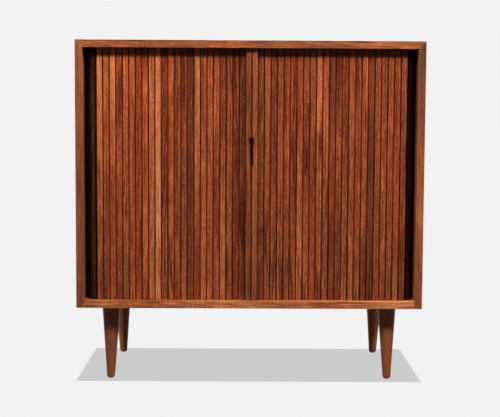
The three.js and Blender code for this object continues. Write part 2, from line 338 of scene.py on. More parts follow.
# Walnut from its darkest heart to its palest sapwood
walnut_stops = [
    (0.0, (0.030, 0.009, 0.004)),
    (0.25, (0.098, 0.027, 0.010)),
    (0.5, (0.250, 0.063, 0.020)),
    (0.75, (0.430, 0.135, 0.044)),
    (1.0, (0.630, 0.260, 0.095)),
]
redder_tint = (1.12, 0.76, 0.55)
faded_walnut = (0.235, 0.092, 0.042)
oiled_roughness = 0.46
rubbed_roughness = 0.34
pore_roughness = 0.2
oiled_sheen = 0.14
rubbed_sheen = 0.5
slat_sheen = 0.06
stile_sheen = 0.08
grain_relief = 0.07 * mm
veneer_leaves = 4

# Old oil and painted shade in the grooves: its colours, how often they change in a metre across
# the door and down it, and the tones of wood between which it goes from near black to its full colour
oil_and_shade_stops = [
    (0.10, (0.012, 0.004, 0.002)),
    (0.42, (0.045, 0.003, 0.004)),
    (0.58, (0.210, 0.001, 0.0005)),
]
groove_tint_changes_across = 75
groove_tint_changes_down = 2
groove_tint_tones = (0.05, 0.3)

# The walnut's figure in layers of noise: how often each repeats in a metre across the grain and
# along it, where along the log it starts, and its detail and roughness if they aren't the usual
figure_layers = {
    "drift": (2, 1.6, 0, 1.0),
    "swell": (11, 2.6, 5),
    "patches": (28, 5, 0),
    "streaks": (330, 3, 0, 2.0, 0.6),
    "mottle": (130, 30, 0, 3.0, 0.65),
    "flecks": (420, 130, 0, 2.0, 0.6),
    "hearts": (62, 4, 9),
    "flames": (54, 9, 20),
    "ripples": (20, 7, 60, 1.0),
    "pores": (1100, 85, 0),
}
noise_middle = 0.5

# The levels of noise between which these layers set in
setting_in = {
    "hearts": (0.54, 0.72),
    "flames": (0.56, 0.74),
    "ripples": (0.58, 0.70),
    "pores": (0.55, 0.68),
}

# How much these layers change the tone, and how much more they do so where the grain is long
grain_weights = {
    "patches": (0.5, 0.0),
    "streaks": (0.35, 0.5),
    "mottle": (0.64, -0.24),
    "flecks": (0.72, -0.32),
}
ring_width = 5.5 * mm
ring_taper = 210 * mm
drift_reach = 0.06
swell_in_rings = 5
late_wood_power = 2.5
late_wood_middle = 0.3
late_wood_darker = 0.20
late_wood_relief = 0.3
ripples_across = 480
ripples_along = 520
ripple_waver = 14
ripple_contrast = 0.08
flame_paler = 0.20
flame_redder = 0.45
heart_darker = 0.29
heart_redder = 0.4
pore_darker = 0.12


def varying(graph, length, values, start, stop):
    """A value that eases from the first number to the second and on to the third along a board."""
    middle = (start + stop) / 2
    first, second, third = values
    return (graph.span(length, start, middle) * (second - first)
            + graph.span(length, middle, stop) * (third - second) + first)


def wood_layers(graph, across, depth, length, figure, long_grain):
    """Growth rings, dark heart streaks, pale flames, mottling and flecks, slanting ripples in
    patches, and open pores, all as strong as the figure says. Long grain has more of the thin
    streaks and less mottling. Gives the tone's change, the redness, the pores and the height.

    The rings are cones round the pith: ring number = radius / ring width + length / taper + swell,
    so a flat-sawn face shows them as nested arches. Each ring darkens towards its outer edge."""

    def layer(name):
        scale, scale_along, start, *texture = figure_layers[name]
        return graph.noise(across * scale, depth * scale, length * scale_along + start, *texture)

    def sets_in(name):
        return graph.span(layer(name), *setting_in[name])

    across = across + (layer("drift") - noise_middle) * drift_reach
    swell = layer("swell") - noise_middle
    radius = graph.maths("SQRT", across * across + depth * depth)
    ring = graph.maths("FRACT", radius * (1 / ring_width) + length * (1 / ring_taper)
                       + swell * swell_in_rings)
    late = graph.maths("POWER", ring, late_wood_power)
    grain = {name: layer(name) - noise_middle for name in grain_weights}
    hearts, flames, ripples, pores = (sets_in(name) for name in setting_in)
    slant = graph.maths("SINE", length * ripples_along + across * ripples_across
                        + grain["mottle"] * ripple_waver)
    level = sum(grain[name] * (plain + more * long_grain)
                for name, (plain, more) in grain_weights.items())
    level = (level - (late - late_wood_middle) * late_wood_darker + slant * ripples * ripple_contrast
             + flames * flame_paler - hearts * heart_darker) * figure - pores * pore_darker
    redness = flames * flame_redder + hearts * heart_redder
    return level, redness, pores, late * late_wood_relief + grain["mottle"] - pores


def walnut(name, along, tone, redness, shift, fade=0.0, figure=1.0, span=None, grooved=False,
           rubbed=False, leaf=None, sheen=oiled_sheen, long_grain=0.0):
    """Oiled walnut with its grain along x or z. tone, redness and shift are numbers, or names of
    the piece's own attributes; three tones change along the span of a board. The sawn sides of a
    grooved piece, down between the slats, and the arrises beside them are dark with old oil and
    painted shade: from purple to red by place, and near black where the wood is. Rubbed wood is
    smoother. Veneer is laid in book-matched leaves of one width, each the mirror image of the next."""
    material, graph = new_material(name)
    x, y, z = graph.place()
    across, depth, length = (y, z, x) if along == "x" else (x, y, z)
    if isinstance(tone, str):
        tone, redness = graph.attribute(tone), graph.attribute(redness)
    elif isinstance(tone, tuple):
        tone = varying(graph, length, tone, *span)
    moved = graph.vector_attribute(shift) if isinstance(shift, str) else shift
    across, depth, length = (part + move for part, move in zip((across, depth, length), moved))

    if leaf:
        across = graph.maths("PINGPONG", across, leaf) - leaf / 2
    change, reddening, pores, height = wood_layers(graph, across, depth, length, figure, long_grain)
    wood = graph.ramp(change + tone, walnut_stops)
    redder = graph.mix(1.0, wood, redder_tint, "MULTIPLY")
    wood = graph.mix(reddening + redness, wood, redder)
    if fade:
        wood = graph.mix(fade, wood, faded_walnut)
    if grooved:
        # The grooves' colour: old oil and painted shade between the slats, where the groove attribute
        # says
        groove_tint_noise = graph.noise(x * groove_tint_changes_across, 0.0, z * groove_tint_changes_down, 1.0)
        oil = graph.ramp(groove_tint_noise * graph.span(tone, *groove_tint_tones), oil_and_shade_stops)
        wood = graph.mix(graph.attribute("groove"), wood, oil)
    graph.surface({
        "Base Color": wood,
        "Roughness": pores * pore_roughness + (rubbed_roughness if rubbed else oiled_roughness),
        "Specular IOR Level": sheen,
    }, height, grain_relief)
    return material


def board_finish(name, along, tone, redness, shift, fade, figure):
    """A case board's faces, and its arrises, which hands and cloths have rubbed smoother and which
    are painted paler as a highlight.
    """
    look = {"fade": fade, "figure": figure, "span": board_spans[along], "long_grain": 1.0}
    faces = walnut(f"walnut_{name}", along, tone, redness, shift, **look)
    paler = tuple(value + board_arris_highlight for value in tone)
    arrises = walnut(f"walnut_{name}_arris", along, paler, redness, shift,
                     rubbed=True, sheen=rubbed_sheen, **look)
    return faces, arrises


# Canvas: one thread's width, how often slubs come in a metre across and down, and its tints
thread_pitch = 0.9 * mm
slubs_across = 500
slubs_down = 60
weave_relief = 0.12 * mm
canvas_stops = [(0.2, (0.070, 0.038, 0.018)), (0.8, (0.170, 0.105, 0.055))]


def linen():
    """Canvas browned by glue and oil: warp and weft as crossed ridges, with slubs."""
    material, graph = new_material("canvas_linen")
    x, y, z = graph.place()
    slub = graph.noise((x + y) * slubs_across, 0.0, z * slubs_down, 2.0)
    threads = 2 * math.pi / thread_pitch
    weft = graph.maths("SINE", z * threads)
    warp = graph.maths("SINE", (x + y) * threads)
    weave = weft * 0.5 + warp * 0.5
    tint = graph.ramp(slub * 0.7 + weave * 0.12 + 0.2, canvas_stops)
    graph.surface({"Base Color": tint, "Roughness": 0.9, "Specular IOR Level": 0.15},
                  weave, weave_relief)
    return material


# Zinc plating: spangles in a metre, rubbed streaks in a metre across and along, and its two greys
spangles = 300
rubs_across = 2000
rubs_along = 120
zinc_dark = (0.42, 0.43, 0.44)
zinc_bright = (0.66, 0.67, 0.67)
zinc_relief = 0.03 * mm


def zinc_steel():
    """Zinc plated steel: faint spangles and rubbed streaks."""
    material, graph = new_material("zinc_steel")
    x, y, z = graph.place()
    spangle = graph.noise(x * spangles, y * spangles, z * spangles, 3.0)
    rubbed = graph.noise(x * rubs_across, y * rubs_along, z * rubs_along, 2.0)
    tint = graph.mix(spangle, zinc_dark, zinc_bright)
    roughness = spangle * 0.2 + rubbed * 0.15 + 0.2
    graph.surface({"Base Color": tint, "Metallic": 1.0, "Roughness": roughness}, rubbed, zinc_relief)
    return material


# Nylon: scuffs in a metre and their tints
scuffs = 900
nylon_stops = [(0.35, (0.012, 0.012, 0.012)), (0.8, (0.045, 0.043, 0.04))]
nylon_relief = 0.05 * mm


def moulded_nylon():
    """Near black moulded nylon, scuffed paler where it has slid."""
    material, graph = new_material("moulded_nylon")
    x, y, z = graph.place()
    scuff = graph.noise(x * scuffs, y * scuffs, z * scuffs, 3.0)
    tint = graph.ramp(scuff, nylon_stops)
    graph.surface({"Base Color": tint, "Roughness": scuff * 0.3 + 0.45}, scuff, nylon_relief)
    return material


# The case's boards: the way the grain runs, the tone at three places along it, redness, place in
# the log, fading and strength of figure
case_boards = {
    "top": ("x", (0.46, 0.49, 0.46), 0.15, (0.045, -0.835, 0.4), 0.12, 1.0),
    # The bottom board grows paler towards its right end partly in its wood and partly as a painted
    # highlight, where its top arris catches the light
    "bottom": ("x", (0.55, 0.72, 0.91), 0.10, (0.03, -0.14, 1.7), 0.12, 1.25),
    "left_side": ("z", (0.40, 0.43, 0.57), 0.22, (0.385, 0.05, 0.9), 0.2, 0.75),
    "right_side": ("z", (0.48, 0.48, 0.25), 0.22, (-0.38, -0.03, 2.6), 0.2, 0.75),
}
board_spans = {"x": (top_low.x, top_high.x), "z": (case_bottom, top_high.z)}
leaf_width = (top_high.x - top_low.x) / veneer_leaves
strip_attributes = ("tone", "redness", "shift")
materials = {name: board_finish(name, *look) for name, look in case_boards.items()}
materials |= {
    "slat": walnut("walnut_slats", "z", *strip_attributes, figure=0.9, grooved=True,
                   sheen=slat_sheen),
    "stile": walnut("walnut_stiles", "z", *strip_attributes, figure=0.6, grooved=True,
                    sheen=stile_sheen),
    "leg": walnut("walnut_legs", "z", 0.46, 0.15, (0.05, 0.02, 0.3), 0.15, 0.5, long_grain=0.5),
    "shelf": walnut("walnut_shelves", "x", 0.50, 0.2, (0.02, -0.3, 2.2), 0.35, 0.7),
    "inner_wall": walnut("walnut_inner_walls", "z", 0.48, 0.2, (0.4, 0.27, 3.4), 0.35, 0.7),
    "back": walnut("walnut_back_veneer", "z", 0.50, 0.2, (0.0, -0.15, 5.1), 0.35, 0.8,
                   leaf=leaf_width),
    "canvas": linen(),
    "steel": zinc_steel(),
    "nylon": moulded_nylon(),
}


class Shells:
    """Closed shells gathered into one mesh. Each is an array of rings, each ring an array of
    points that runs anticlockwise as seen from the side that the rings climb to."""

    def __init__(self):
        self.points = []
        self.faces = []
        self.face_materials = []
        self.values = {}
        self.count = 0

    def add(self, rings, material=0, **values):
        """Rings joined by quads and closed by a face at each end, with values for the attributes:
        numbers for all, for each ring or for each point."""
        rings = np.asarray(rings, float)
        levels, around = rings.shape[:2]
        index = self.count + np.arange(levels * around).reshape(levels, around)
        following = np.roll(index, -1, axis=1)
        quads = np.stack([index[:-1], following[:-1], following[1:], index[1:]], axis=-1)
        faces = quads.reshape(-1, 4).tolist() + [index[0, ::-1].tolist(), index[-1].tolist()]
        self.faces += faces
        self.face_materials += [material] * len(faces)
        self.points.append(rings.reshape(-1, 3))
        self.count += levels * around
        for name, value in values.items():
            value = np.asarray(value, float)
            width = value.shape[-1:] if name == "shift" else ()
            full = np.broadcast_to(value, (levels, around, *width))
            self.values.setdefault(name, []).append(full.reshape(levels * around, *width))

    def piece(self, name, used_materials):
        """The shells as one new object with its attributes."""
        mesh = bpy.data.meshes.new(name)
        mesh.from_pydata(np.concatenate(self.points).tolist(), [], self.faces)
        mesh.polygons.foreach_set("material_index", self.face_materials)
        for value_name, parts in self.values.items():
            values = np.concatenate(parts)
            kind, field = ("FLOAT_VECTOR", "vector") if values.ndim == 2 else ("FLOAT", "value")
            attribute = mesh.attributes.new(value_name, kind, "POINT")
            attribute.data.foreach_set(field, values.ravel())
        return placed_piece(name, mesh, used_materials)


def placed_piece(name, mesh, used_materials):
    """A new object at the origin, its smooth stretches shaded smooth and its arrises sharp."""
    for material in used_materials:
        mesh.materials.append(material)
    mesh.update()
    mesh.polygons.foreach_set("use_smooth", [True] * len(mesh.polygons))
    mesh.set_sharp_from_angle(angle=sharp_from)
    return in_scene(name, mesh)


def stands_for(piece, body, slot, *nodes):
    """The piece moves with its body, and is seen instead of the named nodes of the frame."""
    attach(piece, body)
    if nodes:
        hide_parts(*nodes)
    return piece


def ease_share(edge):
    """How much of the full easing an edge gets: less on a mitre's knife edge and on short edges,
    such as a small hole's."""
    mitred = any(min(abs(face.normal.x), abs(face.normal.z)) > mitre_slant
                 for face in edge.link_faces)
    return fine_ease if mitred or edge.calc_length() < short_edge else 1.0


def eased_board(node, finish, slot, ease=board_ease):
    """A copy of a board from the frame, with its arrises eased by a plane stroke. A second finish
    is for the arrises."""
    copy = bmesh.new()
    copy.from_mesh(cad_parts[node].data)
    bmesh.ops.remove_doubles(copy, verts=copy.verts, dist=same_point)
    bmesh.ops.dissolve_limit(copy, angle_limit=flat_within, verts=copy.verts, edges=copy.edges)
    weights = copy.edges.layers.float.new("bevel_weight_edge")
    for edge in copy.edges:
        if len(edge.link_faces) == 2 and edge.calc_face_angle(0) >= arris_from:
            edge[weights] = ease_share(edge)
    mesh = bpy.data.meshes.new(f"{node}_eased")
    copy.to_mesh(mesh)
    copy.free()
    mesh.materials.clear()
    finishes = finish if isinstance(finish, tuple) else (finish,)
    for material in finishes:
        mesh.materials.append(material)
    board = in_scene(f"{node}_eased", mesh)
    bevel = board.modifiers.new("eased_arrises", "BEVEL")
    bevel.width = ease
    bevel.segments = ease_segments
    bevel.limit_method = "WEIGHT"
    bevel.material = len(finishes) - 1
    return stands_for(board, "case", slot, node)


for node, finish, slot in [
    ("top_panel", "top", "case_wood"),
    ("left_side_panel", "left_side", "case_wood"),
    ("right_side_panel", "right_side", "case_wood"),
    ("bottom_panel", "bottom", "case_wood"),
    ("back_panel", "back", "inside_wood"),
    ("left_pocket_wall", "inner_wall", "inside_wood"),
    ("right_pocket_wall", "inner_wall", "inside_wood"),
    ("lower_shelf", "shelf", "inside_wood"),
    ("upper_shelf", "shelf", "inside_wood"),
]:
    eased_board(node, materials[finish], slot)


# The curtains' strips come from many boards. Tones by name: how pale the wood is, and how red.
tones = {
    # black is painted shade, given only to the slats at the corners
    "black": (0.05, 0.00),
    "dark": (0.26, 0.30),
    "umber": (0.34, 0.10),
    "garnet": (0.36, 0.65),
    "brown": (0.43, 0.25),
    "olive": (0.48, 0.00),
    "rust": (0.46, 0.70),
    "chestnut": (0.53, 0.35),
    "copper": (0.58, 0.75),
    "hazel": (0.39, 0.05),
    "tawny": (0.56, 0.15),
    "honey": (0.62, 0.15),
    "amber": (0.71, 0.25),
    "gold": (0.77, 0.10),
}

# Each strip's tone, from the meeting stiles out to the corner and its tail. One with two tones
# runs from the first at its head to the second at its foot.
# The two black slats at each corner are painted shade of the recess where the curtain turns, and the
# umber slat next to each stile is partly painted shade cast by the proud stile.
slat_tones = {
    "left": [
        "umber", "garnet dark", "brown", "dark honey", "olive", "brown chestnut", "chestnut",
        "gold umber", "dark", "umber brown", "chestnut umber", "chestnut", "dark brown", "gold",
        "honey", "rust copper", "garnet rust", "chestnut", "chestnut brown", "chestnut umber",
        "amber brown", "copper umber", "amber tawny", "black", "black", "brown",
    ],
    "right": [
        "umber", "olive brown", "dark brown", "brown chestnut", "brown", "brown", "brown amber",
        "umber brown", "brown", "honey umber", "chestnut brown", "dark garnet", "umber",
        "dark olive", "olive", "brown", "chestnut dark", "dark", "brown", "umber brown", "brown",
        "umber brown", "brown dark", "black", "black", "brown",
    ],
}
stile_tones = {"left": "hazel", "right": "tawny olive"}

# In shares of a strip's height, from its head: where its tone turns, and where the painted sheen
# towards the foot begins
turning_places = (0.4, 0.6)
turning_ease = 0.4
sheen_share_from = 0.3
# The foot's painted sheen: the pale floor's light reflected, painted as less redness and a paler tone
foot_sheen_duller = 0.3
foot_sheen_paler = 0.012

# Where in the log the strips' figure is taken: the slats' up to this far off, the stiles' here
slat_log_reach = np.array([0.14, 0.14, 4.0])
stile_log_place = np.array([0.085, 0.11, 3.3])
figure_seeds = {"left": 100, "right": 300}
fixed_slats_seed = 50


def blended_tone(words, share_down, turning=0.5):
    """Tone and redness down a strip: from the head's tone to the foot's, eased round the turning
    height. Towards the foot every strip is also painted a little duller and paler, as a painted sheen
    of the pale floor's light."""
    head, foot = (np.array(tones[word]) for word in (words.split()[0], words.split()[-1]))
    turned = smooth(turning - turning_ease, turning + turning_ease, share_down)[:, None]
    tone, redness = (head + (foot - head) * turned).T
    sheen_share = smooth(sheen_share_from, 1, share_down)
    return tone + sheen_share * foot_sheen_paler, np.clip(redness - sheen_share * foot_sheen_duller, 0, 1)


def on_path(side, distance):
    """x, y and turn of a place on a door's canvas, at a distance from the meeting line: straight
    along the front, round the corner's arc, then straight back along the side."""
    run = corner_x - side * meeting_x
    arc = track_radius * math.pi / 2
    angle = np.clip((distance - run) / track_radius, 0, math.pi / 2)
    straight = np.minimum(distance, run)
    past = np.maximum(distance - run - arc, 0)
    x = meeting_x + side * (straight + track_radius * np.sin(angle))
    y = canvas_y + track_radius * (1 - np.cos(angle)) + past
    return x, y, side * angle


def turned_to(outline, place):
    """A plan outline carried to a place on the path: turned there, then moved."""
    x, y, turn = place
    cosine, sine = math.cos(turn), math.sin(turn)
    return np.stack([
        x + outline[:, 0] * cosine - outline[:, 1] * sine,
        y + outline[:, 0] * sine + outline[:, 1] * cosine,
    ], axis=-1)


def upright(outlines, levels):
    """Plan outlines, one or one for each level, stood up as rings."""
    levels = np.asarray(levels, float)
    outlines = np.broadcast_to(outlines, (len(levels), *np.shape(outlines)[-2:]))
    heights = np.broadcast_to(levels[:, None, None], (*outlines.shape[:2], 1))
    return np.concatenate([outlines, heights], axis=-1)


def arris_points(centre, radius, start, stop):
    """Points round an arris: centre + radius times the cosine and sine of even angles in degrees."""
    angles = np.radians(np.linspace(start, stop, arris_steps))
    return np.stack([centre[0] + radius * np.cos(angles), centre[1] + radius * np.sin(angles)],
                    axis=-1)


def slat_outline():
    """A slat from above: flat back on the canvas, front arrises rounded. Also how far each point is
    darkened by the old oil and painted shade of the groove, which reach round the arris on to the
    face, and how much paler it is painted as a highlight, which is most beside the dark."""
    half = slat_width / 2
    back = canvas_sunk - canvas_thickness
    front = -canvas_thickness - slat_thickness
    side_y = front + slat_arris + behind_arris
    left = arris_points((slat_arris - half, front + slat_arris), slat_arris, 180, 270)
    right = arris_points((half - slat_arris, front + slat_arris), slat_arris, 270, 360)
    stain = half - slat_arris - groove_oil_and_shade_reach
    face = np.array([-stain, highlight_band - stain, stain - highlight_band, stain])
    outline = np.concatenate([
        [[-half, back], [-half, side_y]], left,
        np.stack([face, np.full(len(face), front)], axis=-1),
        right, [[half, side_y], [half, back]],
    ])
    half_groove = np.concatenate([[1, 1], np.linspace(1, arris_oil_and_shade, arris_steps), [0, 0]])
    # Painted highlight: a paler band on the face just beside the groove's dark
    half_highlight = np.concatenate([np.zeros(arris_steps + 2), [slat_edge_highlight, 0]])
    return outline, *(np.concatenate([half, half[::-1]]) for half in (half_groove, half_highlight))


def tongue_outline():
    """A tongue from above: a rectangle on the slat's middle line, in the middle of its depth."""
    half = tongue_width / 2
    back = -canvas_thickness - (slat_thickness - tongue_thickness) / 2
    front = back - tongue_thickness
    return np.array([[-half, back], [-half, front], [half, front], [half, back]])


tongue_spans = [
    (floor_top - tongue_length, floor_top + tongue_root),
    (ceiling - tongue_root, ceiling + tongue_length),
]
blade_levels = np.linspace(floor_top + shoulder_gap, ceiling - shoulder_gap, slat_levels)
blade_shares_down = np.linspace(1, 0, slat_levels)


def add_tongues(shells, place, tone, redness, shift):
    """The two tongues of a strip, which run in the lower and the upper track."""
    for low, high in tongue_spans:
        rings = upright(turned_to(tongue_outline(), place), [low, high])
        shells.add(rings, groove=tongue_stain, redness=redness, tone=tone, shift=shift)


def curtain_stretch(name, door, side, first, count, seed):
    """Neighbouring slats with their tongues, on the canvas that joins them."""
    rng = np.random.default_rng(seed)
    shells = Shells()
    outline, groove, paler = slat_outline()
    for index in range(first, first + count):
        place = on_path(side, first_slat + (index + 0.5) * slat_pitch)
        turning = rng.uniform(*turning_places)
        tone, redness = blended_tone(slat_tones[door][index], blade_shares_down, turning)
        shift = rng.uniform(-1, 1, 3) * slat_log_reach
        shells.add(upright(turned_to(outline, place), blade_levels), groove=groove,
                   redness=redness[:, None], tone=tone[:, None] + paler, shift=shift)
        add_tongues(shells, place, tone[0], redness[0], shift)
    distances = first_slat + (first + np.linspace(0, count, canvas_steps * count + 1)) * slat_pitch
    shells.add(canvas_rings(side, distances), 1, groove=0.0, redness=0.0, tone=0.5,
               shift=np.zeros(3))
    return shells.piece(name, [materials["slat"], materials["canvas"]])


def canvas_rings(side, distances):
    """The canvas as a thin sheet that follows the path: both faces offset from its back line."""
    x, y, turn = on_path(side, distances)
    back = np.stack([x, y], axis=-1)
    inward = np.stack([np.sin(turn), -np.cos(turn)], axis=-1)
    face = back + inward * canvas_face
    outline = np.concatenate([back, face[::-1]] if side < 0 else [back[::-1], face])
    return upright(outline, [floor_top + canvas_margin, ceiling - canvas_margin])


def stile_levels():
    """Heights of the stile's rings: close together over the round ends of the scoop."""
    half = (pull_height - pull_width) / 2
    ends = half + pull_width / 2 * np.sin(np.linspace(0, math.pi / 2, scoop_steps))
    middle = np.linspace(-half, half, pull_middle_levels)
    offsets = np.concatenate([-ends[::-1], middle[1:-1], ends])
    below = pull_centre_z + offsets[0] - next_to_pull
    above = pull_centre_z + offsets[-1] + next_to_pull
    return np.concatenate([
        np.linspace(blade_levels[0], below, below_pull_levels),
        pull_centre_z + offsets,
        np.linspace(above, blade_levels[-1], above_pull_levels),
    ])


def stile_rings(side, levels):
    """The stile's plan at each height: a bar with a rounded outer arris, whose meeting edge is
    notched by half the slot and scooped by an ellipse that narrows over the pull's round ends.
    Where the scoop is no wider than the notch, the meeting edge has a rounded arris instead."""
    radius = pull_width / 2
    slot_radius = pull_slot_width / 2
    half = (pull_height - pull_width) / 2
    past = np.clip(np.abs(levels - pull_centre_z) - half, 0, None)[:, None]
    reach = np.sqrt(np.clip(radius**2 - past**2, 0, None))
    edge = meeting_gap / 2
    inner = edge + (slot_radius - edge) * np.sqrt(np.clip(1 - (past / slot_radius) ** 2, 0, 1))
    outer = edge + stile_width
    front = -canvas_thickness - slat_thickness - stile_proud

    steps = np.linspace(0, 1, scoop_points)
    start = np.arcsin(np.clip(inner / np.maximum(reach, inner), 0, 1))
    angles = start + steps * (math.pi / 2 - start)
    quarter = steps * math.pi / 2
    scooped = reach > inner + meeting_arris
    across = np.where(scooped, reach * np.sin(angles), inner + meeting_arris * (1 - np.cos(quarter)))
    deep = np.where(scooped, pull_depth * reach / radius * np.cos(angles),
                    meeting_arris * (1 - np.sin(quarter)))
    corner = arris_points((outer - stile_arris, front + stile_arris), stile_arris, 270, 360)
    outlines = np.concatenate([
        np.stack([inner, np.zeros_like(inner)], axis=-1),
        np.stack([across, front + deep], axis=-1),
        np.broadcast_to([*corner, (outer, 0.0)], (len(levels), len(corner) + 1, 2)),
    ], axis=1)
    outlines = outlines * [side, 1] + [meeting_x, canvas_y]
    return upright(outlines[:, ::side], levels)


def stile_oil_and_shade(levels):
    """How dark the stile is painted: with old oil fully at its back, with painted shade down the
    meeting edge, and with painted shadow in the scoop under the upper lip, where a fingertip pulls."""
    half = pull_height / 2
    above_centre = levels - pull_centre_z
    in_scoop = smooth(0, scoop_shade_ease, half - np.abs(above_centre))
    lip_shadow = smooth(-lip_shadow_start, -lip_shadow_full, above_centre - half) * in_scoop
    from_rim = smooth(0, rim_ease, np.linspace(1, 0, scoop_points))
    meeting = np.clip((lip_shadow + (1 - in_scoop))[:, None] * from_rim, 0, 1)
    back = np.ones((len(levels), 1))
    outer = np.zeros((len(levels), arris_steps))
    return np.concatenate([back, meeting, outer, back], axis=1)


def stile(door, side):
    """A door's leading edge, painted dark as shade down its meeting edge and under the pull's lip,
    with its tongues.
    """
    levels = stile_levels()
    share_down = (levels[-1] - levels) / (levels[-1] - levels[0])
    tone, redness = blended_tone(stile_tones[door], share_down)
    shift = stile_log_place * [side, 1, side]
    oiled_and_shaded = stile_oil_and_shade(levels)[:, ::side]
    shells = Shells()
    shells.add(stile_rings(side, levels), groove=oiled_and_shaded, redness=redness[:, None],
               tone=tone[:, None] - oiled_and_shaded * stile_oil_and_shade_darker, shift=shift)
    middle = on_path(side, meeting_gap / 2 + stile_width / 2)
    add_tongues(shells, middle, tone[0], redness[0], shift)
    piece = shells.piece(f"{door}_stile_scooped", [materials["stile"]])
    return stands_for(piece, f"{door}_door", "stile_wood", f"{door}_stile")


def tambour_door(name, side):
    """A door: its stile, the sections that gather as it opens, and the slats that stay."""
    stile(name, side)
    seed = figure_seeds[name]
    for section in range(section_count):
        first = section * slats_per_section
        number = section + 1
        piece = curtain_stretch(f"{name}_slats_{number}", name, side, first, slats_per_section,
                                seed + number)
        stands_for(piece, f"{name}_section_{number}", "slat_wood", f"{name}_curtain_section_{number}")
        meeting_side = meeting_x + side * (first_slat + first * slat_pitch)
        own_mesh(piece)
    gathered = section_count * slats_per_section
    fixed = [
        ("by_corner", gathered, front_slats - gathered, "case"),
        ("round_corner", front_slats, corner_slats, "case"),
        ("tail", front_slats + corner_slats, 1, f"{name}_tail"),
    ]
    for order, (label, first, count, body) in enumerate(fixed):
        piece = curtain_stretch(f"{name}_slats_{label}", name, side, first, count,
                                seed + fixed_slats_seed + order)
        stands_for(piece, body, "slat_wood", f"{name}_curtain_{label}")


tambour_door("left", -1)
tambour_door("right", 1)


def turned_leg(name):
    """A turned leg: at each level an ellipse whose radius tapers straight from seat to foot, with
    a small round at the foot, and whose centre leans out with the splay."""
    plate_low, plate_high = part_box(f"{name}_leg_plate")
    centre_x = (plate_low.x + plate_high.x) / 2
    seat_y = (plate_low.y + plate_high.y) / 2
    seat_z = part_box(f"{name}_leg")[1].z
    foot = glide_thickness
    levels = np.concatenate([
        foot + leg_foot_round * (1 - np.cos(np.linspace(0, math.pi / 2, foot_steps))),
        np.linspace(foot + leg_foot_round * 2, seat_z, leg_levels),
    ])
    share_up = levels / case_bottom
    radius = (leg_foot_diameter + (leg_top_diameter - leg_foot_diameter) * share_up) / 2
    tuck = np.clip(1 - (levels - foot) / leg_foot_round, 0, 1)
    radius = radius - leg_foot_round * (1 - np.sqrt(np.clip(1 - tuck**2, 0, 1)))
    angles = np.linspace(0, 2 * math.pi, leg_around, endpoint=False)
    stretch = math.hypot(leg_splay, case_bottom) / case_bottom
    centre_y = seat_y + math.copysign(leg_splay, seat_y) * (1 - share_up)
    shells = Shells()
    shells.add(np.stack([
        centre_x + radius[:, None] * np.cos(angles),
        centre_y[:, None] + radius[:, None] * stretch * np.sin(angles),
        np.broadcast_to(levels[:, None], (len(levels), leg_around)),
    ], axis=-1))
    piece = shells.piece(f"{name}_leg_turned", [materials["leg"]])
    return stands_for(piece, "case", "leg_wood", f"{name}_leg")


def plate_screw_spots(name):
    """A leg plate's four screws, the same way in from its edges."""
    low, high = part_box(f"{name}_leg_plate")
    centre_x = (low.x + high.x) / 2
    centre_y = (low.y + high.y) / 2
    reach = high.x - centre_x - plate_screw_inset
    underside = case_bottom - plate_thickness
    return [(centre_x + across * reach, centre_y + back * reach, underside)
            for across in (-1, 1) for back in (-1, 1)]


def back_screw_spots():
    """The back panel's screws: full columns at its two sides, and one at the top and bottom of
    each column between them."""
    low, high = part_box("back_panel")
    columns = np.linspace(low.x + back_screw_inset, high.x - back_screw_inset, back_screw_columns)
    rows = np.linspace(low.z + back_screw_inset, high.z - back_screw_inset, back_screw_rows)
    ends = [(x, rear_y, z) for x in columns for z in (rows[0], rows[-1])]
    return ends + [(x, rear_y, z) for z in rows[1:-1] for x in (columns[0], columns[-1])]


def screw_rings(diameter, rise):
    """A domed screw head as rings about +Z: a low dome whose cross recess is pressed in where a
    point lies near either diameter."""
    radius = diameter / 2
    radii = radius * screw_ring_shares
    angles = np.linspace(0, 2 * math.pi, screw_around, endpoint=False)
    x = radii[:, None] * np.cos(angles)
    y = radii[:, None] * np.sin(angles)
    dome = rise * np.sqrt(np.clip(1 - (radii / radius) ** 2 * dome_roundness, 0, 1))[:, None]
    off_arm = smooth(*recess_arm_edge, np.minimum(np.abs(x), np.abs(y)) / radius)
    past_arm = smooth(*recess_arm_end, np.hypot(x, y) / radius)
    z = dome * (1 - recess_depth_share * (1 - off_arm) * (1 - past_arm))
    z[0] = 0
    return np.stack([x, y, z], axis=-1)


def screws(name, spots, diameter, rise, facing):
    """Screw heads at the spots, all facing one way."""
    turn = np.array(Vector((0, 0, 1)).rotation_difference(Vector(facing)).to_matrix())
    rings = screw_rings(diameter, rise) @ turn.T
    shells = Shells()
    for spot in spots:
        shells.add(rings + np.asarray(spot))
    stands_for(shells.piece(name, [materials["steel"]]), "case", "steel")


leg_names = ("front_left", "front_right", "back_left", "back_right")
legs = {name: turned_leg(name) for name in leg_names}
screws("leg_plate_screws", [spot for name in leg_names for spot in plate_screw_spots(name)],
       plate_screw_diameter, plate_screw_rise, (0, 0, -1))
screws("back_panel_screws", back_screw_spots(), back_screw_diameter, back_screw_rise, (0, 1, 0))


